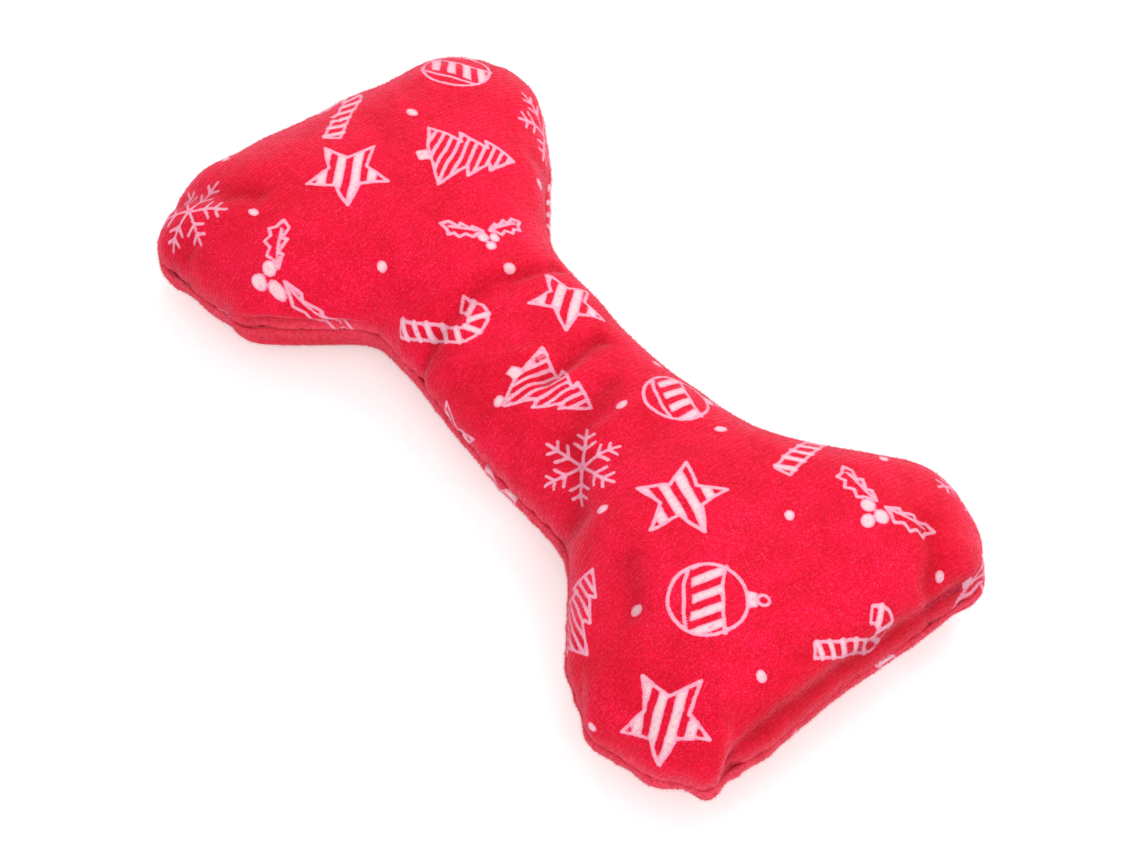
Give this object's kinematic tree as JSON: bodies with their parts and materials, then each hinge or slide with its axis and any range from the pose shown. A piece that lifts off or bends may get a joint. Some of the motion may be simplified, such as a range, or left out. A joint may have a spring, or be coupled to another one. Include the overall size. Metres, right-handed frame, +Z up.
{
  "type": "squeaky dog toy",
  "caption": "Bone-shaped plush dog toy of printed velour, stuffed with fibre round a bellows squeaker that sounds when the shaft is bitten or squeezed.",
  "frame": {"origin": "centre of the bounding box at its underside, on the surface the toy lies on, under the middle of the shaft", "axes": "+X along the bone, +Y across it to the far side in the picture, +Z up from the underside"},
  "size_m": [0.2286, 0.114, 0.0388],
  "materials": {
    "velour": "matte",
    "sewing_thread": "matte",
    "fibre_fill": "matte",
    "bulb_plastic": "satin",
    "reed_plastic": "gloss",
    "reed_film": "gloss"
  },
  "bodies": {
    "toy": {"top_cover": "velour", "bottom_cover": "velour", "seam_thread": "sewing_thread", "closing_thread": "sewing_thread", "stuffing_left_end": "fibre_fill", "stuffing_right_end": "fibre_fill", "stuffing_above_squeaker": "fibre_fill", "stuffing_below_squeaker": "fibre_fill", "squeaker_base": "bulb_plastic", "squeaker_bellows": "bulb_plastic", "reed_plug": "reed_plastic", "reed_shallot": "reed_plastic", "reed_wedge": "reed_plastic"},
    "bulb_crown": {"squeaker_crown": "bulb_plastic"},
    "reed": {"reed_tongue": "reed_film"}
  },
  "joints": [
    {"name": "bulb_squeeze", "type": "slide", "parent": "toy", "child": "bulb_crown", "axis": [0, 0, -1], "range_m": [0, 0.005], "stiffness_N_per_m": 400, "deforming": ["squeaker_bellows"]},
    {"name": "reed_buzz", "type": "hinge", "parent": "toy", "child": "reed", "pos_m": [0, 0, 0.0101], "axis": [1, 0, 0], "range_deg": [-7, 2.5], "stiffness_Nm_per_rad": 0.0001}
  ]
}
